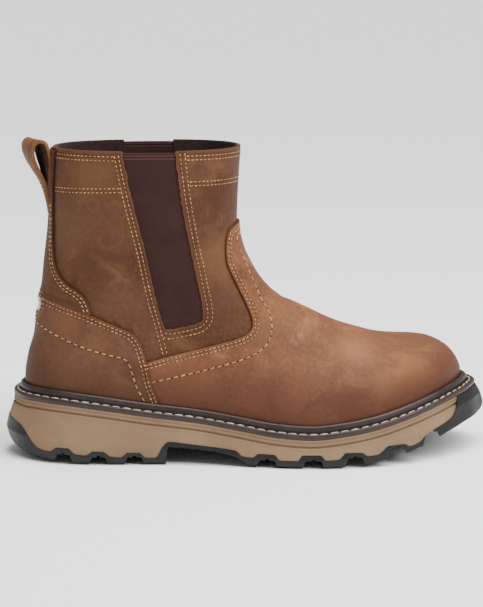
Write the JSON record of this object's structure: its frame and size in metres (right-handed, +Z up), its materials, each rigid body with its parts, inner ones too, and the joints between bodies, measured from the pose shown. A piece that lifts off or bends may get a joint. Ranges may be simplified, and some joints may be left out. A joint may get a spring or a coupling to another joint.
{
  "type": "safety boot",
  "caption": "Right-foot pull-on safety boot with a gore at each side, a rear pull loop, a stitched welt and a lugged two-layer sole.",
  "frame": {"origin": "middle of the bounding box on the floor that the boot stands on", "axes": "+X from heel to toe, +Y to the medial side, +Z up"},
  "size_m": [0.3126, 0.1164, 0.2048],
  "materials": {
    "shaft_leather": "oiled, mottled olive brown",
    "vamp_leather": "oiled, smooth red brown",
    "gore_elastic": "ribbed elastic",
    "welt_rubber": "satin, stitched",
    "midsole_foam": "matt moulded",
    "outsole_rubber": "satin moulded",
    "insole_fabric": "woven top cloth",
    "reflector": "retroreflective film"
  },
  "bodies": {
    "root": {"outsole": "outsole_rubber", "midsole": "midsole_foam", "welt": "welt_rubber", "insole": "insole_fabric", "upper": "shaft_leather", "vamp": "vamp_leather", "counter": "vamp_leather", "backstay": "shaft_leather", "heel_reflector": "reflector", "gore_lateral": "gore_elastic", "gore_medial": "gore_elastic", "pull_loop": "vamp_leather"}
  },
  "joints": []
}
